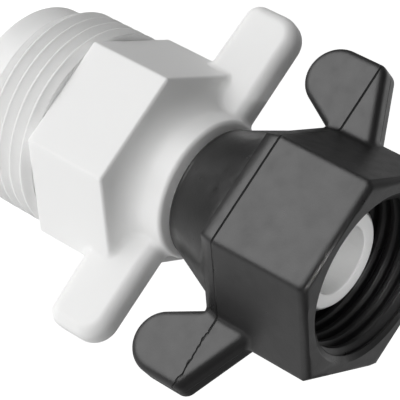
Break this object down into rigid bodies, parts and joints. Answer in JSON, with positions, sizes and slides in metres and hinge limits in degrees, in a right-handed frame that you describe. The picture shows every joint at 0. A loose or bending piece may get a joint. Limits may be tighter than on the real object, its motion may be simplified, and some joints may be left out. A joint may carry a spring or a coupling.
{
  "type": "hose reducer",
  "caption": "Moulded hose reducer: male pipe end, hexagon and wings in white plastic, with a black swivel wing nut for a smaller thread.",
  "frame": {"origin": "on the long axis, at the rim of the male pipe end", "axes": "+Z runs from the male pipe end to the mouth of the swivel nut, +X along the wings of the body, +Y across its flats"},
  "size_m": [0.0466, 0.0266, 0.056],
  "materials": {
    "white_plastic": "satin, fine moulded skin",
    "black_plastic": "satin, fine moulded skin"
  },
  "bodies": {
    "reducer_body": {"body": "white_plastic"},
    "nut": {"swivel_nut": "black_plastic"}
  },
  "joints": [
    {"name": "nut_swivel", "type": "hinge", "parent": "reducer_body", "child": "nut", "pos_m": [0, 0, 0.037], "axis": [0, 0, 1], "continuous": true}
  ]
}
